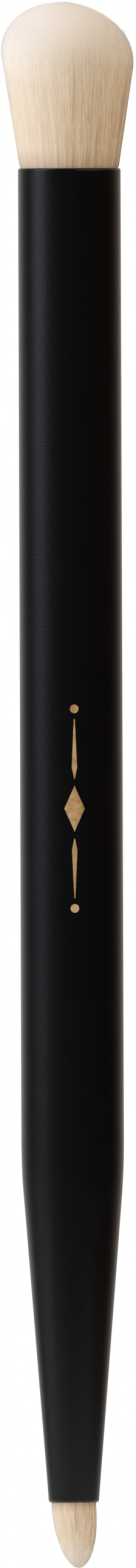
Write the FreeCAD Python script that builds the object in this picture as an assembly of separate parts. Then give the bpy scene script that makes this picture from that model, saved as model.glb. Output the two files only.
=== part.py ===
"""Double-ended eyeshadow brush: a thin coated tube with a hair tuft set in each end.

Millimetres. +Z runs along the brush towards the large blending tuft and +X is to the right of a
viewer who faces it. The origin is on the axis, half way along the straight barrel.
"""

import FreeCAD, Part
import math
import os

Vector = FreeCAD.Vector

# Handle tube
BARREL_DIAMETER = 10.0
BARREL_LENGTH = 94.9
TAPER_LENGTH = 34.8
TAPER_BLEND_RADIUS = 60.0
PENCIL_MOUTH_DIAMETER = 4.87
TUBE_WALL = 0.3
BLENDING_LIP_ROUND = 0.2
PENCIL_LIP_ROUND = 0.27

# Films of adhesive between the pieces glued into the tube
CUP_BOND_GAP = 0.03
CORE_BOND_GAP = 0.05

# Core rod
CORE_END_CHAMFER = 0.4

# Cup for the blending tuft, sunk below the tube's mouth
CUP_RECESS = 2.0
CUP_DEPTH = 12.0
CUP_WALL = 0.3
CUP_INNER_CORNER = 0.3
BLENDING_GLUE_FLOOR = 1.5
BLENDING_GLUE_RIM_HEIGHT = 1.0
BLENDING_GLUE_RIM_WALL = 0.5

# Blending tuft outside the tube: it flares to a belly and closes in a slanted dome
BLENDING_BELLY_DIAMETER = 13.0
BLENDING_FLARE_LENGTH = 10.85
BLENDING_DOME_HEIGHT = 5.25
BLENDING_SLANT_DEG = 5.8

# Pencil tuft: packed into the taper, with a point that leans to one side
PENCIL_ROOT_LENGTH = 8.0
PENCIL_GLUE_LENGTH = 3.0
PENCIL_BELLY_DIAMETER = 4.4
PENCIL_FLARE_LENGTH = 0.4
PENCIL_DOME_HEIGHT = 5.95
PENCIL_TIP_LEAN = 0.46

# Thread that ties each tuft near its root
THREAD_DEPTH = 0.35
BLENDING_THREAD_LENGTH = 2.4
PENCIL_THREAD_LENGTH = 1.6
THREAD_TO_GLUE = 1.0

# Levels along the axis
BLENDING_MOUTH_Z = BARREL_LENGTH / 2
TAPER_START_Z = -BARREL_LENGTH / 2
PENCIL_MOUTH_Z = TAPER_START_Z - TAPER_LENGTH
CUP_RIM_Z = BLENDING_MOUTH_Z - CUP_RECESS
CUP_BOTTOM_Z = CUP_RIM_Z - CUP_DEPTH
CUP_FLOOR_Z = CUP_BOTTOM_Z + CUP_WALL
BLENDING_ROOT_Z = CUP_FLOOR_Z + BLENDING_GLUE_FLOOR
BLENDING_GLUE_TOP_Z = BLENDING_ROOT_Z + BLENDING_GLUE_RIM_HEIGHT
PENCIL_ROOT_Z = PENCIL_MOUTH_Z + PENCIL_ROOT_LENGTH
PENCIL_GLUE_TOP_Z = PENCIL_ROOT_Z + PENCIL_GLUE_LENGTH

# Radii of the bores
BARREL_RADIUS = BARREL_DIAMETER / 2
BARREL_BORE_RADIUS = BARREL_RADIUS - TUBE_WALL
CUP_RADIUS = BARREL_BORE_RADIUS - CUP_BOND_GAP
CUP_BORE_RADIUS = CUP_RADIUS - CUP_WALL

AXIS = Vector(0, 0, 1)
CENTRE = Vector(0, 0, 0)
SAME_SIZE = 1e-6


def on_profile(radius, z):
    return Vector(radius, 0, z)


def taper_angle():
    """Half angle of the taper, which runs tangent from the blend arc to the pencil mouth."""
    across = BARREL_RADIUS - TAPER_BLEND_RADIUS - PENCIL_MOUTH_DIAMETER / 2
    reach = math.hypot(across, TAPER_LENGTH)
    return math.atan2(across, TAPER_LENGTH) + math.asin(TAPER_BLEND_RADIUS / reach)


def blend_point(inset, angle):
    """Point on the blend arc, moved inwards by inset, where the wall leans by angle."""
    radius = TAPER_BLEND_RADIUS - inset
    across = BARREL_RADIUS - TAPER_BLEND_RADIUS + radius * math.cos(angle)
    return on_profile(across, TAPER_START_Z - radius * math.sin(angle))


def taper_radius(inset, z):
    """Radius of the straight taper, moved inwards by inset, at a level below the blend."""
    blend_end = blend_point(inset, taper_angle())
    return blend_end.x - (blend_end.z - z) * math.tan(taper_angle())


def wall_edges(inset, low, high):
    """Edges of the handle's side, moved inwards by inset, from a taper level to a barrel level."""
    angle = taper_angle()
    foot = on_profile(taper_radius(inset, low), low)
    blend_end = blend_point(inset, angle)
    blend_middle = blend_point(inset, angle / 2)
    blend_start = blend_point(inset, 0)
    head = on_profile(BARREL_RADIUS - inset, high)
    return [
        Part.makeLine(foot, blend_end),
        Part.Arc(blend_end, blend_middle, blend_start).toShape(),
        Part.makeLine(blend_start, head),
    ]


def lathe(edges):
    """Solid turned from a closed profile."""
    return Part.Face(Part.Wire(edges)).revolve(CENTRE, AXIS, 360)


def lathe_points(points):
    """Solid turned from a straight-sided profile given as (radius, z) corners."""
    corners = [on_profile(radius, z) for radius, z in points]
    return lathe(Part.makePolygon(corners + corners[:1]).Edges)


def taper_plug(low, high):
    """Plug that fills the tube's tapered bore between two levels."""
    return lathe_points([
        (0, low),
        (taper_radius(TUBE_WALL, low), low),
        (taper_radius(TUBE_WALL, high), high),
        (0, high),
    ])


def ring(inner_radius, outer_radius, low, high):
    return lathe_points([
        (inner_radius, low),
        (outer_radius, low),
        (outer_radius, high),
        (inner_radius, high),
    ])


def circles_at(solid, radius, z):
    """Circular edges of a solid that have a given radius and level."""
    found = []
    for edge in solid.Edges:
        if isinstance(edge.Curve, Part.Circle):
            radius_fits = abs(edge.Curve.Radius - radius) < SAME_SIZE
            level_fits = abs(edge.Curve.Center.z - z) < SAME_SIZE
            if radius_fits and level_fits:
                found.append(edge)
    return found


def make_handle_tube():
    outside = wall_edges(0, PENCIL_MOUTH_Z, BLENDING_MOUTH_Z)
    inside = wall_edges(TUBE_WALL, PENCIL_MOUTH_Z, BLENDING_MOUTH_Z)
    pencil_radius = PENCIL_MOUTH_DIAMETER / 2
    blending_end = Part.makeLine(
        on_profile(BARREL_RADIUS, BLENDING_MOUTH_Z),
        on_profile(BARREL_BORE_RADIUS, BLENDING_MOUTH_Z),
    )
    pencil_end = Part.makeLine(
        on_profile(taper_radius(TUBE_WALL, PENCIL_MOUTH_Z), PENCIL_MOUTH_Z),
        on_profile(pencil_radius, PENCIL_MOUTH_Z),
    )
    tube = lathe(outside + [blending_end] + inside[::-1] + [pencil_end])
    blending_lip = circles_at(tube, BARREL_RADIUS, BLENDING_MOUTH_Z)
    tube = tube.makeFillet(BLENDING_LIP_ROUND, blending_lip)
    pencil_lip = circles_at(tube, pencil_radius, PENCIL_MOUTH_Z)
    return tube.makeFillet(PENCIL_LIP_ROUND, pencil_lip)


def make_handle_core():
    inset = TUBE_WALL + CORE_BOND_GAP
    low = PENCIL_GLUE_TOP_Z
    high = CUP_BOTTOM_Z
    side = wall_edges(inset, low, high)
    low_radius = taper_radius(inset, low)
    high_radius = BARREL_RADIUS - inset
    ends = [
        Part.makeLine(on_profile(high_radius, high), on_profile(0, high)),
        Part.makeLine(on_profile(0, high), on_profile(0, low)),
        Part.makeLine(on_profile(0, low), on_profile(low_radius, low)),
    ]
    core = lathe(side + ends)
    corners = circles_at(core, low_radius, low) + circles_at(core, high_radius, high)
    return core.makeChamfer(CORE_END_CHAMFER, corners)


def make_blending_cup():
    cup = lathe_points([
        (0, CUP_BOTTOM_Z),
        (CUP_RADIUS, CUP_BOTTOM_Z),
        (CUP_RADIUS, CUP_RIM_Z),
        (CUP_BORE_RADIUS, CUP_RIM_Z),
        (CUP_BORE_RADIUS, CUP_FLOOR_Z),
        (0, CUP_FLOOR_Z),
    ])
    cup = cup.makeFillet(CUP_INNER_CORNER + CUP_WALL, circles_at(cup, CUP_RADIUS, CUP_BOTTOM_Z))
    inner_corner = circles_at(cup, CUP_BORE_RADIUS, CUP_FLOOR_Z)
    return cup.makeFillet(CUP_INNER_CORNER, inner_corner)


def make_blending_glue():
    socket_radius = CUP_BORE_RADIUS - BLENDING_GLUE_RIM_WALL
    glue = lathe_points([
        (0, CUP_FLOOR_Z),
        (CUP_BORE_RADIUS, CUP_FLOOR_Z),
        (CUP_BORE_RADIUS, BLENDING_GLUE_TOP_Z),
        (socket_radius, BLENDING_GLUE_TOP_Z),
        (socket_radius, BLENDING_ROOT_Z),
        (0, BLENDING_ROOT_Z),
    ])
    corner = circles_at(glue, CUP_BORE_RADIUS, CUP_FLOOR_Z)
    return glue.makeFillet(CUP_INNER_CORNER, corner)


def make_blending_binding():
    low = BLENDING_GLUE_TOP_Z + THREAD_TO_GLUE
    return ring(CUP_BORE_RADIUS - THREAD_DEPTH, CUP_BORE_RADIUS, low, low + BLENDING_THREAD_LENGTH)


def make_pencil_glue():
    return taper_plug(PENCIL_ROOT_Z, PENCIL_GLUE_TOP_Z)


def make_pencil_binding():
    high = PENCIL_ROOT_Z - THREAD_TO_GLUE
    low = high - PENCIL_THREAD_LENGTH
    tied_radius = taper_radius(TUBE_WALL, low) - THREAD_DEPTH
    return taper_plug(low, high).cut(Part.makeCylinder(tied_radius, high - low, on_profile(0, low)))


def free_hair(mouth_radius, belly_radius, flare_length, dome_height, slant_deg=0.0, tip_lean=0.0):
    """Hair outside a mouth at z = 0: a flare up to the belly, closed by a dome.

    The slant lifts the belly on the -X side, and the tip leans towards +X.
    """
    lift = belly_radius * math.tan(math.radians(slant_deg))
    to_dome = FreeCAD.Matrix(
        belly_radius, 0, tip_lean, 0,
        0, belly_radius, 0, 0,
        -lift, 0, dome_height, flare_length,
        0, 0, 0, 1,
    )
    dome = Part.makeSphere(1, CENTRE, AXIS, 0, 90, 360).transformGeometry(to_dome)
    belly = [edge for edge in dome.Edges if edge.isClosed() and not edge.Degenerated]
    mouth = Part.makeCircle(mouth_radius, CENTRE, AXIS)
    flare = Part.makeLoft([Part.Wire([mouth]), Part.Wire(belly)], True, True)
    return flare.fuse(dome)


def make_blending_tuft(glue, binding):
    root = lathe_points([
        (0, BLENDING_ROOT_Z),
        (CUP_BORE_RADIUS, BLENDING_ROOT_Z),
        (CUP_BORE_RADIUS, CUP_RIM_Z),
        (BARREL_BORE_RADIUS, BLENDING_MOUTH_Z),
        (0, BLENDING_MOUTH_Z),
    ])
    hair = free_hair(
        BARREL_BORE_RADIUS,
        BLENDING_BELLY_DIAMETER / 2,
        BLENDING_FLARE_LENGTH,
        BLENDING_DOME_HEIGHT,
        slant_deg=BLENDING_SLANT_DEG,
    )
    hair.translate(on_profile(0, BLENDING_MOUTH_Z))
    return root.fuse(hair).cut([glue, binding])


def make_pencil_tuft(binding):
    root = taper_plug(PENCIL_MOUTH_Z, PENCIL_ROOT_Z)
    hair = free_hair(
        taper_radius(TUBE_WALL, PENCIL_MOUTH_Z),
        PENCIL_BELLY_DIAMETER / 2,
        PENCIL_FLARE_LENGTH,
        PENCIL_DOME_HEIGHT,
        tip_lean=PENCIL_TIP_LEAN,
    )
    hair.rotate(CENTRE, Vector(1, 0, 0), 180)
    hair.translate(on_profile(0, PENCIL_MOUTH_Z))
    return root.fuse(hair).cut(binding)


blending_glue = make_blending_glue()
blending_binding = make_blending_binding()
pencil_binding = make_pencil_binding()

pieces = {
    "handle_tube": make_handle_tube(),
    "handle_core": make_handle_core(),
    "blending_cup": make_blending_cup(),
    "blending_glue": blending_glue,
    "blending_binding": blending_binding,
    "blending_tuft": make_blending_tuft(blending_glue, blending_binding),
    "pencil_glue": make_pencil_glue(),
    "pencil_binding": pencil_binding,
    "pencil_tuft": make_pencil_tuft(pencil_binding),
}

os.makedirs("parts", exist_ok=True)
for name, shape in pieces.items():
    shape.exportStep(f"parts/{name}.step")
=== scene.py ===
import math
from dataclasses import dataclass
import bpy
import numpy as np
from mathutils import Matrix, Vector


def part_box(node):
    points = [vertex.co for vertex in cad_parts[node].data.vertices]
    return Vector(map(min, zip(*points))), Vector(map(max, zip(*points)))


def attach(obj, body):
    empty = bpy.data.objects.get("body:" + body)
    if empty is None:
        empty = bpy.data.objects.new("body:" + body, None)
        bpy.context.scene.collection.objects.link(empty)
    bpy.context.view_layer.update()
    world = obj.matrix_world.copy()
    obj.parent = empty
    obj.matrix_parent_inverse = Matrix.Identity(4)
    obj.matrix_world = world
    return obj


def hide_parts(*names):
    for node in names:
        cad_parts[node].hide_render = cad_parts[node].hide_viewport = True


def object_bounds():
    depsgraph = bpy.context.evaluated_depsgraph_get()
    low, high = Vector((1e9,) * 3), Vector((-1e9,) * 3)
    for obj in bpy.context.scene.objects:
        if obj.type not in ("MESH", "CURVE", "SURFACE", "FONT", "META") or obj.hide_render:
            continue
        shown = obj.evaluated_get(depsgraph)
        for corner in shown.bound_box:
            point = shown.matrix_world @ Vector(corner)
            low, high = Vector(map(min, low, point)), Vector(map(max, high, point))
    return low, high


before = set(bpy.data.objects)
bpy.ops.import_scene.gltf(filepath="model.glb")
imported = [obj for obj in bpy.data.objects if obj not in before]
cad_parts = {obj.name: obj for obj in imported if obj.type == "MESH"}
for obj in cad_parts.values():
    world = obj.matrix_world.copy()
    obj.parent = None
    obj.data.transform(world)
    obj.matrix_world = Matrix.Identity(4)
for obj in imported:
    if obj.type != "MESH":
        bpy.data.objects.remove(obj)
cad_low, cad_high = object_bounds()

MM = 0.001
QUARTER_TURN = math.pi / 2
FULL_TURN = 2 * math.pi
LEAST_LENGTH = 1e-12
WHITE = (1.0, 1.0, 1.0)

# The handle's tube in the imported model
TUBE_LOW, TUBE_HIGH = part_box("handle_tube")
BARREL_RADIUS = (TUBE_HIGH.x - TUBE_LOW.x) / 2

# The photograph's frame, and where the brush lies in it
PHOTO_WIDTH = 224
PHOTO_HEIGHT = 2576
PHOTO_PIXELS_PER_METRE = 16900
BLENDING_MOUTH_ROW = 276.5
AXIS_COLUMN_HALF_WAY = 117.6
AXIS_TILT = math.radians(0.2)
CAMERA_DISTANCE = 0.6
CAMERA_CLIP_START = 0.01
CAMERA_CLIP_END = 20

# Cross-section of a hair, and how far its shading leans aside
HAIR_CORNERS = 3
HAIR_WIDTH = 0.055 * MM
HAIR_THICKNESS = 0.008 * MM
STRAND_LEAN = 0.07
END_LEAN = 0.05

# Places along a hair, and its width at each of them as a share of the full width
FLARE_STEPS = np.array([0.0, 0.25, 0.5, 0.75])
DOME_STEPS = np.array([0.0, 0.2, 0.4, 0.6, 0.8, 0.93, 1.0])
STRAND_TAPER = np.array([1, 1, 1, 1, 1, 1, 1, 0.95, 0.9, 0.75, 0.5, 0.2])
END_STEPS = np.array([0.0, 0.7, 1.0])
END_TAPER = np.array([0.8, 0.6, 0.15])
STRAY_TAPER = np.array([0.6, 0.45, 0.12])

# Long strands: turns of the dome at which they end (lowest, likeliest, highest), and how they lie
STRAND_END_TURN = (-0.1, 0.2, 1.2)
LOCK_PULL = 0.2
DEPTH_WAVES = (0.5, 2.5)

# Wisps of stray hairs
HAIRS_IN_WISP = 22
WISP_ANGLE_SPREAD = 0.7
WISP_TURN = (0.04, 0.75)
STRAY_SPREAD = 0.02
STRAY_LIFT_SHARE = (0.3, 1)

# Depths, lengths and lifts, as multiples of the depth at which a tuft's packed body lies
CROWN_INSET = 2
STRAND_LAYER = 1.6
END_LENGTH = 40
END_LIFT = (-3, 0, 8)
STRAY_LENGTH = 90
WISP_LIFT = (4, 28)

# Tones of hairs, from 0 dark to 1 light, and the levels of a tuft between which they fade to 1
TONE_MIDDLE = 0.6
TONE_SPREAD = 0.16
STREAK_STRENGTH = 0.12
# How much stronger the streaks grow towards the right, as painted shade on the side away from the key
# light
SHADED_SIDE_STREAK_BOOST = 0.9
LEAST_END_TONE = 0.8
FADE_LEVELS = (0.5, 0.85)

# The map that hair colours are read from, and the width of half a hair on it
BAKE_MAP = "OFBake"
TONE_BAND = 0.003

# Fineness of a tuft's packed body
BODY_RINGS = 40
BODY_SEGMENTS = 96

# Foil ornament on the barrel, measured along it from the ornament's middle
FOIL_LEVEL = -14.8 * MM
FOIL_ASIDE = 0.3 * MM
FOIL_PROUD = 0.015 * MM
FOIL_COLUMNS = 9
FOIL_LEAST_HALF_WIDTH = 0.03 * MM
LOZENGE_HALF_LENGTH = 2.2 * MM
LOZENGE_HALF_WIDTH = 1.0 * MM
LOZENGE_ROWS = 21
RULE_ALONG = np.array([2.9, 4.0, 8.7]) * MM
RULE_HALF_WIDTH = np.array([0.03, 0.26, 0.05]) * MM
DOT_ALONG = 9.7 * MM
DOT_RADIUS = 0.42 * MM
DOT_ROWS = 13

# Floor
FLOOR_HALF_SIZE = 0.065
FLOOR_GAP = 0.5 * MM
FLOOR_GREY = 0.9
FLOOR_GLOW = 0.2


# Tufts
def unit(vectors):
    lengths = np.linalg.norm(vectors, axis=-1, keepdims=True)
    return vectors / np.maximum(lengths, LEAST_LENGTH)


@dataclass
class Tuft:
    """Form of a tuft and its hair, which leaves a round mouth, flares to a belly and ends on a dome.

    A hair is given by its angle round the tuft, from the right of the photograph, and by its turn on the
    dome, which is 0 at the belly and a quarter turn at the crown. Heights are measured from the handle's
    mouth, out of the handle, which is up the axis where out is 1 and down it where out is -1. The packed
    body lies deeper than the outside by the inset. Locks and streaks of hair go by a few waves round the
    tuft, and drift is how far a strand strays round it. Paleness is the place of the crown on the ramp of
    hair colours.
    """

    mouth: float
    out: int
    root_depth: float
    root_radius: float
    lip_height: float
    lip_radius: float
    belly_radius: float
    flare: float
    dome: float
    inset: float
    seed: int
    waves: tuple
    drift: float
    strands: int
    ends: int
    strays: int
    slant: float = 0.0
    belly_shift: float = 0.0
    crown_shift: float = 0.0
    paleness: float = 1.0

    def on_dome(self, turn, angle):
        """Points of the dome."""
        rise = np.sin(turn)
        x = self.belly_radius * np.cos(turn) * np.cos(angle)
        y = self.belly_radius * np.cos(turn) * np.sin(angle)
        height = self.flare - math.tan(self.slant) * x + self.dome * rise
        return np.stack([x + self.aside(rise), y, height], axis=-1)

    def aside(self, rise):
        """How far the tuft's middle stands off the handle's axis, at a rise from 0 at the belly to 1."""
        return self.belly_shift + (self.crown_shift - self.belly_shift) * rise

    def dome_start(self):
        """The turn, just below the belly, at which the flare runs smoothly into the dome."""
        slope = (self.belly_radius - self.lip_radius) / (self.flare - self.lip_height)
        return -math.atan(slope * self.dome / self.belly_radius)

    def ring(self, angle, radius, height):
        """A level circle at or inside the mouth."""
        x = radius * np.cos(angle)
        y = radius * np.sin(angle)
        return np.stack([x, y, np.full_like(angle, height)], axis=-1)

    def level(self, points):
        """How far up the tuft points are, from 0 at the mouth to 1 at the height of the crown."""
        return np.clip(points[..., 2] / (self.flare + self.dome), 0, 1)

    def shade(self, points):
        """Where points are on the ramp of hair colours."""
        return self.level(points) * self.paleness

    def fade(self, points):
        """How far hairs have run together, from 0 low on the tuft to 1 on the smooth crown."""
        low, high = FADE_LEVELS
        return np.clip((self.level(points) - low) / (high - low), 0, 1)

    def facing(self, points):
        """The way the tuft's outside faces near these points."""
        x, y, height = np.moveaxis(points, -1, 0)
        above = (height - self.flare + math.tan(self.slant) * x) / self.dome
        above = np.clip(above, math.sin(self.dome_start()), None)
        outward = np.stack([
            (x - self.aside(above)) / self.belly_radius ** 2,
            y / self.belly_radius ** 2,
            above / self.dome,
        ], axis=-1)
        return unit(outward)

    def turned(self, directions):
        """Directions in the brush's frame, from ones in the tuft's own."""
        return directions * np.array([1, self.out, self.out])

    def placed(self, points):
        """Points in the brush's frame, from ones in the tuft's own."""
        return self.turned(points) + np.array([0, 0, self.mouth])


BLENDING = Tuft(
    mouth=TUBE_HIGH.z,
    out=1,
    root_depth=0.6 * MM,
    root_radius=4.45 * MM,
    lip_height=0.25 * MM,
    lip_radius=4.85 * MM,
    belly_radius=6.44 * MM,
    flare=10.85 * MM,
    dome=5.25 * MM,
    inset=0.02 * MM,
    seed=11,
    waves=(23, 41, 67, 109),
    drift=0.04,
    strands=2800,
    ends=12000,
    strays=1400,
    slant=math.radians(5.8),
    belly_shift=-0.15 * MM,
    crown_shift=-0.04 * MM,
)
PENCIL = Tuft(
    mouth=TUBE_LOW.z,
    out=-1,
    root_depth=0.6 * MM,
    root_radius=2.05 * MM,
    lip_height=0.2 * MM,
    lip_radius=2.17 * MM,
    belly_radius=2.17 * MM,
    flare=0.4 * MM,
    dome=5.95 * MM,
    inset=0.012 * MM,
    seed=12,
    waves=(9, 17, 29, 43),
    drift=0.05,
    strands=1400,
    ends=2400,
    strays=200,
    crown_shift=0.46 * MM,
    paleness=0.85,
)


# Lines and tones of hairs
def locks(angle, waves, rng):
    """Angles drawn together into locks."""
    moved = angle.copy()
    for wave in waves:
        moved += LOCK_PULL / wave * np.sin(wave * angle + rng.uniform(0, FULL_TURN))
    return moved


def streak_tones(angle, waves, rng):
    """Tone of each hair, alike among neighbours so that they form streaks.

    The streaks are stronger on the right, as painted shade between the hairs on the side away from the key
    light.
    """
    tone = rng.normal(0, TONE_SPREAD, len(angle))
    for wave in waves:
        tone += STREAK_STRENGTH * np.sin(wave * angle + rng.uniform(0, FULL_TURN))
    # Painted shade: streak contrast rises towards the right, away from the key light
    shaded_side_boost = 1 + SHADED_SIDE_STREAK_BOOST * np.cos(angle)
    return np.clip(TONE_MIDDLE + tone * shaded_side_boost, 0, 1)


def strand_lines(tuft, angle, end_turn, rng):
    """Centre lines of strands that follow the tuft's outside from the mouth and end on the dome.

    They are an array of strand, step and coordinate.
    """
    count = len(angle)
    sway = rng.normal(0, tuft.drift, count)
    bow = rng.normal(0, tuft.drift / 2, count)
    start = tuft.dome_start()
    points = [tuft.ring(angle, tuft.root_radius, -tuft.root_depth)]
    for step in FLARE_STEPS:
        here = angle + sway * step + bow * math.sin(math.pi * step)
        lip = tuft.ring(here, tuft.lip_radius, tuft.lip_height)
        points.append(lip + (tuft.on_dome(start, here) - lip) * step)
    for step in DOME_STEPS:
        points.append(tuft.on_dome(start + (end_turn - start) * step, angle + sway))
    lines = np.stack(points, axis=1)
    waves = rng.uniform(*DEPTH_WAVES, (count, 1))
    phase = rng.uniform(0, FULL_TURN, (count, 1))
    swell = 0.5 + 0.5 * np.sin(phase + FULL_TURN * waves * tuft.level(lines))
    depth = STRAND_LAYER * tuft.inset * swell
    return lines - tuft.facing(lines) * depth[..., None]


def end_lines(tuft, turn, angle, length, lift):
    """Centre lines of the ends of inner hairs, which fan out from the mouth and come out of the dome."""
    tip = tuft.on_dome(turn, angle)
    root = tuft.ring(angle, tuft.lip_radius * np.cos(turn), tuft.lip_height)
    way = unit(tip - root)
    tip = tip + way * (lift * tuft.inset)[:, None]
    return tip[:, None] + way[:, None] * (length * tuft.inset * (END_STEPS - 1))[:, None]


# Meshes of hairs
def shade_smooth(mesh):
    mesh.polygons.foreach_set("use_smooth", np.ones(len(mesh.polygons), dtype=bool))


def strip_faces(shape):
    """Faces of closed strips whose points are numbered by hair, step and corner."""
    index = np.arange(math.prod(shape)).reshape(shape)
    beside = np.roll(index, -1, axis=2)
    walls = np.stack([index[:, :-1], beside[:, :-1], beside[:, 1:], index[:, 1:]], axis=-1)
    caps = np.concatenate([index[:, 0, ::-1], index[:, -1]])
    return walls.reshape(-1, 4).tolist() + caps.tolist()


def map_hairs(mesh, tuft, lines, tone):
    """Lays hairs on the map of colours, by their tones across and their places on the tuft upwards."""
    tone = tone[:, None, None]
    tones = tone + (1 - tone) * tuft.fade(lines)[..., None]
    spots = np.zeros((*lines.shape[:2], HAIR_CORNERS, 2))
    spots[..., 0] = tones * (1 - 2 * TONE_BAND) + TONE_BAND * np.arange(HAIR_CORNERS)
    spots[..., 1] = tuft.shade(lines)[:, :, None]
    corners = np.zeros(len(mesh.loops), dtype=np.int32)
    mesh.loops.foreach_get("vertex_index", corners)
    layer = mesh.uv_layers.new(name=BAKE_MAP)
    layer.data.foreach_set("uv", spots.reshape(-1, 2)[corners].ravel())


def hair_mesh(name, tuft, lines, taper, tone, lean, rng):
    """Mesh of thin closed strips along centre lines.

    Each strip has a flat side outwards, and its other two sides meet in an edge below. The normals follow
    the whole tuft, with a little lean of each hair, as light that scatters among fine hairs does.
    """
    tangent = unit(np.gradient(lines, axis=1))
    facing = tuft.facing(lines)
    across = unit(np.cross(tangent, facing))
    over = np.cross(across, tangent)
    half = across * (HAIR_WIDTH / 2 * taper)[:, None]
    below = over * (HAIR_THICKNESS * taper)[:, None]
    points = np.stack([lines + half, lines - below, lines - half], axis=2)
    mesh = bpy.data.meshes.new(name)
    mesh.from_pydata(tuft.placed(points).reshape(-1, 3), [], strip_faces(points.shape[:3]))
    shade_smooth(mesh)
    map_hairs(mesh, tuft, lines, tone)

    fade = tuft.fade(lines)[..., None]
    aside = rng.normal(0, lean, (len(lines), 1, 1)) * (1 - fade) * across
    normals = np.repeat(unit(facing + aside)[:, :, None], HAIR_CORNERS, axis=2)
    mesh.normals_split_custom_set_from_vertices(tuft.turned(normals).reshape(-1, 3))
    return mesh


def body_loops(tuft, angle):
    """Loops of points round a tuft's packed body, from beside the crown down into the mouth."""
    loops = []
    for turn in np.linspace(QUARTER_TURN, tuft.dome_start(), BODY_RINGS)[1:]:
        loop = tuft.on_dome(turn, angle)
        depth = tuft.inset + (CROWN_INSET - 1) * tuft.inset * max(0, math.sin(turn))
        loops.append(loop - depth * tuft.facing(loop))
    for radius, height in ((tuft.lip_radius, tuft.lip_height), (tuft.root_radius, -tuft.root_depth)):
        loops.append(tuft.ring(angle, radius - tuft.inset, height))
    return np.concatenate(loops)


def body_mesh(name, tuft):
    """Closed form just under the tuft's outer hairs, which fills the gaps between them."""
    angle = np.linspace(0, FULL_TURN, BODY_SEGMENTS, endpoint=False)
    loops = body_loops(tuft, angle)
    top = tuft.on_dome(QUARTER_TURN, np.zeros(1)) - np.array([0, 0, CROWN_INSET * tuft.inset])
    bottom = np.array([[0, 0, -tuft.root_depth]])
    points = tuft.placed(np.concatenate([top, loops, bottom]))

    index = 1 + np.arange(len(loops)).reshape(-1, BODY_SEGMENTS)
    beside = np.roll(index, -1, axis=1)
    walls = np.stack([index[:-1], index[1:], beside[1:], beside[:-1]], axis=-1).reshape(-1, 4)
    crown = [(0, i, j) for i, j in zip(index[0], beside[0])]
    foot = [(len(points) - 1, j, i) for i, j in zip(index[-1], beside[-1])]
    mesh = bpy.data.meshes.new(name)
    mesh.from_pydata(points, [], walls.tolist() + crown + foot)
    shade_smooth(mesh)
    return mesh


# Helpers for materials
def new_material(name):
    material = bpy.data.materials.new(name)
    material.use_nodes = True
    nodes = material.node_tree.nodes
    return material, nodes, material.node_tree.links, nodes["Principled BSDF"]


def grey(level):
    return (level, level, level)


def add_ramp(nodes, links, factor, stops):
    ramp = nodes.new("ShaderNodeValToRGB")
    links.new(factor, ramp.inputs["Fac"])
    elements = ramp.color_ramp.elements
    while len(elements) < len(stops):
        elements.new(0.5)
    for element, (position, colour) in zip(elements, stops):
        element.position = position
        element.color = (*colour, 1)
    return ramp.outputs["Color"]


def add_shades(nodes, links, noise, low, high):
    """Colours from low to high over the range in which nearly all of a noise lies."""
    return add_ramp(nodes, links, noise, [(0.3, low), (0.7, high)])


def add_range(nodes, links, value, before, after):
    rescale = nodes.new("ShaderNodeMapRange")
    rescale.inputs["From Min"].default_value = before[0]
    rescale.inputs["From Max"].default_value = before[1]
    rescale.inputs["To Min"].default_value = after[0]
    rescale.inputs["To Max"].default_value = after[1]
    links.new(value, rescale.inputs["Value"])
    return rescale.outputs["Result"]


def add_noise(nodes, links, scale, detail, stretch=(1, 1, 1)):
    place = nodes.new("ShaderNodeTexCoord")
    mapping = nodes.new("ShaderNodeMapping")
    mapping.inputs["Scale"].default_value = stretch
    links.new(place.outputs["Object"], mapping.inputs["Vector"])
    noise = nodes.new("ShaderNodeTexNoise")
    noise.inputs["Scale"].default_value = scale
    noise.inputs["Detail"].default_value = detail
    links.new(mapping.outputs["Vector"], noise.inputs["Vector"])
    return noise.outputs["Fac"]


def add_bump(nodes, links, shader, height, strength, distance):
    bump = nodes.new("ShaderNodeBump")
    bump.inputs["Strength"].default_value = strength
    bump.inputs["Distance"].default_value = distance
    links.new(height, bump.inputs["Height"])
    links.new(bump.outputs["Normal"], shader.inputs["Normal"])


def add_product(nodes, links, first, second):
    """One colour times another."""
    mix = nodes.new("ShaderNodeMix")
    mix.data_type = "RGBA"
    mix.blend_type = "MULTIPLY"
    mix.inputs["Factor"].default_value = 1
    links.new(first, mix.inputs["A"])
    links.new(second, mix.inputs["B"])
    return mix.outputs["Result"]


def seen_directly(nodes, links):
    """1 for camera, glossy and transmission rays, and 0 for those that light matte surfaces."""
    path = nodes.new("ShaderNodeLightPath")
    value = path.outputs["Is Camera Ray"]
    for kind in ("Is Glossy Ray", "Is Transmission Ray"):
        either = nodes.new("ShaderNodeMath")
        either.operation = "MAXIMUM"
        links.new(value, either.inputs[0])
        links.new(path.outputs[kind], either.inputs[1])
        value = either.outputs["Value"]
    return value


# Materials
def hair_colour(nodes, links, level):
    """Tan at the mouth, partly the hair's own colour and partly painted shade where the handle's mouth
    shades the roots, cream along the hair and greyer at the ends.
    """
    return add_ramp(nodes, links, level, [
        # Darkest at the mouth: the hair's tan there plus painted shade of the handle's mouth over the
        # roots
        (0.0, (0.66, 0.52, 0.37)),
        (0.12, (0.87, 0.73, 0.55)),
        (0.45, (0.90, 0.77, 0.59)),
        (0.65, (0.90, 0.80, 0.65)),
        (0.8, (0.825, 0.75, 0.645)),
        (1.0, (0.785, 0.73, 0.645)),
    ])


def finish_hair(nodes, links, shader, level, tone):
    """Hair colour at a level of the tuft times a tone, without gloss."""
    colour = add_product(nodes, links, hair_colour(nodes, links, level), tone)
    links.new(colour, shader.inputs["Base Color"])
    shader.inputs["Roughness"].default_value = 0.7
    shader.inputs["Specular IOR Level"].default_value = 0


def hair_material():
    material, nodes, links, shader = new_material("cream_hair")
    uv = nodes.new("ShaderNodeUVMap")
    uv.uv_map = BAKE_MAP
    split = nodes.new("ShaderNodeSeparateXYZ")
    links.new(uv.outputs["UV"], split.inputs["Vector"])
    tone = add_ramp(nodes, links, split.outputs["X"], [
        (0.0, (0.62, 0.51, 0.38)),
        (0.5, (0.90, 0.86, 0.80)),
        (0.9, WHITE),
    ])
    finish_hair(nodes, links, shader, split.outputs["Y"], tone)
    return material


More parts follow.
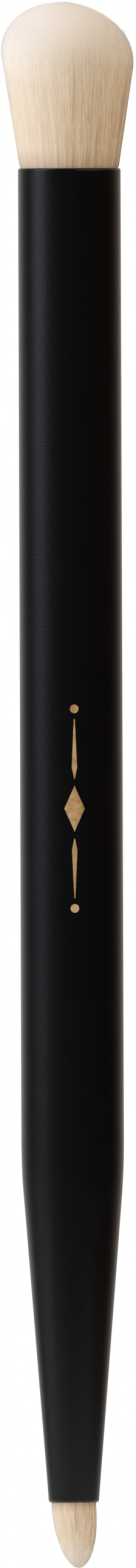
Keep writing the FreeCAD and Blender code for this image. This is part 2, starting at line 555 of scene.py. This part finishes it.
def packed_hair_material(end, tuft):
    material, nodes, links, shader = new_material("packed_%s_hair" % end)
    place = nodes.new("ShaderNodeTexCoord")
    split = nodes.new("ShaderNodeSeparateXYZ")
    links.new(place.outputs["Object"], split.inputs["Vector"])
    top = tuft.mouth + tuft.out * (tuft.flare + tuft.dome)
    level = add_range(nodes, links, split.outputs["Z"], (tuft.mouth, top), (0, tuft.paleness))
    streaks = add_noise(nodes, links, scale=7000, detail=3, stretch=(1, 1, 0.04))
    tone = add_shades(nodes, links, streaks, (0.95, 0.93, 0.90), WHITE)
    finish_hair(nodes, links, shader, level, tone)
    add_bump(nodes, links, shader, streaks, strength=0.2, distance=0.05 * MM)
    return material


def coat_material():
    material, nodes, links, shader = new_material("matte_black_coat")
    grain = add_noise(nodes, links, scale=6000, detail=4)
    clouds = add_noise(nodes, links, scale=250, detail=3)
    colour = add_shades(nodes, links, clouds, (0.0015, 0.0015, 0.0018), (0.0025, 0.0025, 0.0028))
    links.new(colour, shader.inputs["Base Color"])
    roughness = add_shades(nodes, links, grain, grey(0.31), grey(0.39))
    links.new(roughness, shader.inputs["Roughness"])
    shader.inputs["Specular IOR Level"].default_value = 0.3
    add_bump(nodes, links, shader, grain, strength=0.42, distance=0.03 * MM)
    return material


def wood_material():
    material, nodes, links, shader = new_material("core_hardwood")
    grain = add_noise(nodes, links, scale=1400, detail=5, stretch=(1, 1, 0.05))
    colour = add_shades(nodes, links, grain, (0.36, 0.22, 0.12), (0.62, 0.45, 0.28))
    links.new(colour, shader.inputs["Base Color"])
    shader.inputs["Roughness"].default_value = 0.65
    add_bump(nodes, links, shader, grain, strength=0.3, distance=0.05 * MM)
    return material


def aluminium_material():
    material, nodes, links, shader = new_material("drawn_aluminium")
    drawn = add_noise(nodes, links, scale=3000, detail=3, stretch=(1, 1, 0.03))
    roughness = add_shades(nodes, links, drawn, grey(0.25), grey(0.42))
    links.new(roughness, shader.inputs["Roughness"])
    shader.inputs["Base Color"].default_value = (0.80, 0.80, 0.82, 1)
    shader.inputs["Metallic"].default_value = 1
    return material


def epoxy_material():
    material, nodes, links, shader = new_material("amber_epoxy")
    haze = add_noise(nodes, links, scale=800, detail=3)
    colour = add_shades(nodes, links, haze, (0.55, 0.36, 0.14), (0.72, 0.53, 0.27))
    links.new(colour, shader.inputs["Base Color"])
    shader.inputs["Roughness"].default_value = 0.2
    return material


def thread_material():
    material, nodes, links, shader = new_material("wound_thread")
    turns = add_noise(nodes, links, scale=900, detail=1, stretch=(0.05, 0.05, 6))
    colour = add_shades(nodes, links, turns, (0.55, 0.50, 0.42), (0.85, 0.82, 0.75))
    links.new(colour, shader.inputs["Base Color"])
    shader.inputs["Roughness"].default_value = 0.8
    add_bump(nodes, links, shader, turns, strength=0.8, distance=0.05 * MM)
    return material


def foil_material():
    material, nodes, links, shader = new_material("gold_foil")
    # Colour varies at random over the foil between a dark and a light bronze
    mottle = add_noise(nodes, links, scale=1500, detail=4)
    colour = add_shades(nodes, links, mottle, (0.50, 0.28, 0.10), (0.80, 0.55, 0.28))
    links.new(colour, shader.inputs["Base Color"])
    shader.inputs["Metallic"].default_value = 0.2
    shader.inputs["Roughness"].default_value = 0.45
    return material


def floor_material():
    """A matte floor that takes the brush's shadow, and is lifted to white where it is seen."""
    material, nodes, links, shader = new_material("pale_floor")
    nodes.remove(shader)
    matte = nodes.new("ShaderNodeBsdfDiffuse")
    matte.inputs["Color"].default_value = (*grey(FLOOR_GREY), 1)
    glow = nodes.new("ShaderNodeEmission")
    links.new(seen_directly(nodes, links), glow.inputs["Strength"])
    glow.inputs["Color"].default_value = (*grey(FLOOR_GLOW), 1)
    both = nodes.new("ShaderNodeAddShader")
    links.new(matte.outputs["BSDF"], both.inputs[0])
    links.new(glow.outputs["Emission"], both.inputs[1])
    links.new(both.outputs["Shader"], nodes["Material Output"].inputs["Surface"])
    return material


# Pieces
def add_piece(name, mesh, material):
    piece = bpy.data.objects.new(name, mesh)
    bpy.context.scene.collection.objects.link(piece)
    mesh.materials.append(material)
    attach(piece, "root")
    return piece


def add_hairs(name, mesh, hair):
    """Hairs take light from all sides but throw no shade on each other, as fine pale hair nearly does."""
    piece = add_piece(name, mesh, hair)
    piece.visible_shadow = False
    piece.shadow_terminator_geometry_offset = 0


def add_body(end, tuft):
    name = end + "_hair_body"
    body = add_piece(name, body_mesh(name, tuft), packed_hair_material(end, tuft))
    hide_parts(end + "_tuft")


def add_strands(end, tuft, hair, rng):
    """Long strands on the tuft's outside."""
    name = end + "_hair"
    angle = locks(rng.uniform(0, FULL_TURN, tuft.strands), tuft.waves, rng)
    tone = streak_tones(angle, tuft.waves, rng)
    end_turn = rng.triangular(*STRAND_END_TURN, tuft.strands)
    lines = strand_lines(tuft, angle, end_turn, rng)
    add_hairs(name, hair_mesh(name, tuft, lines, STRAND_TAPER, tone, STRAND_LEAN, rng), hair)


def add_ends(end, tuft, hair, rng):
    """Ends of inner hairs, all over the dome."""
    name = end + "_hair_ends"
    angle = rng.uniform(0, FULL_TURN, tuft.ends)
    turn = np.arccos(np.sqrt(rng.uniform(0, 1, tuft.ends)))
    tone = LEAST_END_TONE + (1 - LEAST_END_TONE) * streak_tones(angle, tuft.waves, rng)
    lift = rng.triangular(*END_LIFT, tuft.ends)
    lines = end_lines(tuft, turn, angle, END_LENGTH, lift)
    add_hairs(name, hair_mesh(name, tuft, lines, END_TAPER, tone, END_LEAN, rng), hair)


def add_strays(end, tuft, hair, rng):
    """Pale wisps that stand off the dome on the right."""
    name = end + "_hair_strays"
    wisps = tuft.strays // HAIRS_IN_WISP
    wisp = rng.integers(0, wisps, tuft.strays)
    angle = rng.normal(0, WISP_ANGLE_SPREAD, wisps)[wisp] + rng.normal(0, STRAY_SPREAD, tuft.strays)
    turn = rng.uniform(*WISP_TURN, wisps)[wisp] + rng.normal(0, STRAY_SPREAD, tuft.strays)
    lift = rng.uniform(*WISP_LIFT, wisps)[wisp] * rng.uniform(*STRAY_LIFT_SHARE, tuft.strays)
    lines = end_lines(tuft, turn, angle, STRAY_LENGTH, lift)
    tone = np.ones(tuft.strays)
    add_hairs(name, hair_mesh(name, tuft, lines, STRAY_TAPER, tone, END_LEAN, rng), hair)


def add_tuft(end, tuft, hair):
    rng = np.random.default_rng(tuft.seed)
    add_body(end, tuft)
    add_strands(end, tuft, hair, rng)
    add_ends(end, tuft, hair, rng)
    add_strays(end, tuft, hair, rng)


def foil_leaf(along, half_width):
    """Points and faces of a leaf of foil laid round the barrel, from half widths at places along it."""
    across = np.linspace(-1, 1, FOIL_COLUMNS)
    turn = (FOIL_ASIDE + np.outer(half_width, across)) / BARREL_RADIUS
    height = FOIL_LEVEL + np.outer(along, np.ones(FOIL_COLUMNS))
    reach = BARREL_RADIUS + FOIL_PROUD
    points = np.stack([reach * np.sin(turn), -reach * np.cos(turn), height], axis=-1)
    index = np.arange(turn.size).reshape(turn.shape)
    faces = np.stack([index[:-1, :-1], index[:-1, 1:], index[1:, 1:], index[1:, :-1]], axis=-1)
    return points.reshape(-1, 3), faces.reshape(-1, 4)


def foil_ornament():
    """Places along and half widths of each leaf: a lozenge, and on both sides of it a rule and a dot."""
    lozenge_along = np.linspace(-LOZENGE_HALF_LENGTH, LOZENGE_HALF_LENGTH, LOZENGE_ROWS)
    lozenge_half = LOZENGE_HALF_WIDTH * (1 - np.abs(lozenge_along) / LOZENGE_HALF_LENGTH)
    dot_turn = np.linspace(-QUARTER_TURN, QUARTER_TURN, DOT_ROWS)
    dot_along = DOT_ALONG + DOT_RADIUS * np.sin(dot_turn)
    dot_half = DOT_RADIUS * np.cos(dot_turn)
    leaves = [(lozenge_along, np.maximum(lozenge_half, FOIL_LEAST_HALF_WIDTH))]
    for along, half in ((RULE_ALONG, RULE_HALF_WIDTH), (dot_along, dot_half)):
        half = np.maximum(half, FOIL_LEAST_HALF_WIDTH)
        leaves.append((along, half))
        leaves.append((-along[::-1], half[::-1]))
    return leaves


def add_foil():
    points = []
    faces = []
    for along, half_width in foil_ornament():
        leaf_points, leaf_faces = foil_leaf(along, half_width)
        faces += (leaf_faces + len(points)).tolist()
        points += leaf_points.tolist()
    mesh = bpy.data.meshes.new("handle_foil")
    mesh.from_pydata(points, [], faces)
    foil = add_piece("handle_foil", mesh, foil_material())
    thickness = foil.modifiers.new("thickness", "SOLIDIFY")
    thickness.thickness = 2 * FOIL_PROUD
    thickness.offset = -1


def set_material(node, material):
    """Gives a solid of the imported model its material."""
    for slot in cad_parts[node].material_slots:
        slot.material = material


# Stage
def add_floor():
    size = FLOOR_HALF_SIZE
    level = cad_low.z - FLOOR_GAP
    corners = [(x * size, y * size, level) for x, y in ((-1, -1), (1, -1), (1, 1), (-1, 1))]
    mesh = bpy.data.meshes.new("floor")
    mesh.from_pydata(corners, [], [(0, 1, 2, 3)])
    mesh.materials.append(floor_material())
    floor = bpy.data.objects.new("floor", mesh)
    bpy.context.scene.collection.objects.link(floor)


def light_room(nodes, links, to_right):
    """Light for matte surfaces, cool from the left and warm and dim from the right."""
    room = nodes["Background"]
    colour = add_ramp(nodes, links, to_right, [
        (0.0, (0.58, 0.73, 0.93)),
        (0.5, (0.82, 0.70, 0.57)),
        (1.0, (0.31, 0.22, 0.15)),
    ])
    links.new(colour, room.inputs["Color"])
    room.inputs["Strength"].default_value = 1
    return room


def hang_sweep(nodes, links, to_right, to_back):
    """Pale sweep behind the brush, which shows in reflections, dim in front and warm on the right."""
    sweep = nodes.new("ShaderNodeBackground")
    colour = add_ramp(nodes, links, to_right, [
        (0.5, WHITE),
        (0.9, (0.65, 0.50, 0.38)),
    ])
    links.new(colour, sweep.inputs["Color"])
    strength = add_range(nodes, links, to_back, (0.45, 0.9), (0.065, 1))
    links.new(strength, sweep.inputs["Strength"])
    return sweep


def hang_backdrop(nodes):
    """Plain white for the camera."""
    backdrop = nodes.new("ShaderNodeBackground")
    backdrop.inputs["Color"].default_value = (*WHITE, 1)
    return backdrop


def add_world():
    world = bpy.data.worlds.new("studio")
    bpy.context.scene.world = world
    world.use_nodes = True
    nodes = world.node_tree.nodes
    links = world.node_tree.links
    direction = nodes.new("ShaderNodeTexCoord")
    split = nodes.new("ShaderNodeSeparateXYZ")
    links.new(direction.outputs["Generated"], split.inputs["Vector"])
    to_right = add_range(nodes, links, split.outputs["X"], (-1, 1), (0, 1))
    path = nodes.new("ShaderNodeLightPath")

    surface = light_room(nodes, links, to_right).outputs["Background"]
    layers = (
        (seen_directly(nodes, links), hang_sweep(nodes, links, to_right, split.outputs["Y"])),
        (path.outputs["Is Camera Ray"], hang_backdrop(nodes)),
    )
    for chosen, layer in layers:
        mix = nodes.new("ShaderNodeMixShader")
        links.new(chosen, mix.inputs["Fac"])
        links.new(surface, mix.inputs[1])
        links.new(layer.outputs["Background"], mix.inputs[2])
        surface = mix.outputs["Shader"]
    links.new(surface, nodes["World Output"].inputs["Surface"])


def add_softbox(name, place, target, size, power, colour=WHITE):
    lamp = bpy.data.lights.new(name, "AREA")
    lamp.shape = "RECTANGLE"
    lamp.size, lamp.size_y = size
    lamp.energy = power
    lamp.color = colour
    softbox = bpy.data.objects.new(name, lamp)
    softbox.location = place
    softbox.rotation_euler = (Vector(target) - Vector(place)).to_track_quat("-Z", "Y").to_euler()
    bpy.context.scene.collection.objects.link(softbox)


def add_softboxes():
    add_softbox(
        "key",
        place=(-0.425, -0.125, 0.25),
        target=(0, 0, 0.05),
        size=(0.26, 0.45),
        power=1.36,
        colour=(0.95, 0.97, 1.14),
    )
    add_softbox("card", place=(-0.3, -0.04, -0.145), target=(0, 0, -0.07), size=(0.25, 0.08), power=0.08)
    add_softbox("top", place=(0.25, -0.05, 0.42), target=(0, 0, 0.06), size=(0.35, 0.35), power=0.65)


def add_camera():
    data = bpy.data.cameras.new("camera")
    data.type = "ORTHO"
    data.sensor_fit = "VERTICAL"
    data.ortho_scale = PHOTO_HEIGHT / PHOTO_PIXELS_PER_METRE
    data.clip_start = CAMERA_CLIP_START
    data.clip_end = CAMERA_CLIP_END
    camera = bpy.data.objects.new("camera", data)
    aside = (PHOTO_WIDTH / 2 - AXIS_COLUMN_HALF_WAY) / PHOTO_PIXELS_PER_METRE
    level = TUBE_HIGH.z - (PHOTO_HEIGHT / 2 - BLENDING_MOUTH_ROW) / PHOTO_PIXELS_PER_METRE
    camera.location = (aside, -CAMERA_DISTANCE, level)
    camera.rotation_euler = (QUARTER_TURN, AXIS_TILT, 0)
    bpy.context.scene.collection.objects.link(camera)
    bpy.context.scene.camera = camera


# The brush
hair = hair_material()
add_tuft("blending", BLENDING, hair)
add_tuft("pencil", PENCIL, hair)
set_material("handle_tube", coat_material())
add_foil()
set_material("handle_core", wood_material())
set_material("blending_cup", aluminium_material())
epoxy = epoxy_material()
thread = thread_material()
for end in ("blending", "pencil"):
    set_material(end + "_glue", epoxy)
    set_material(end + "_binding", thread)

# Its stage
add_floor()
add_world()
add_softboxes()
add_camera()
bpy.context.scene.view_settings.view_transform = "Standard"
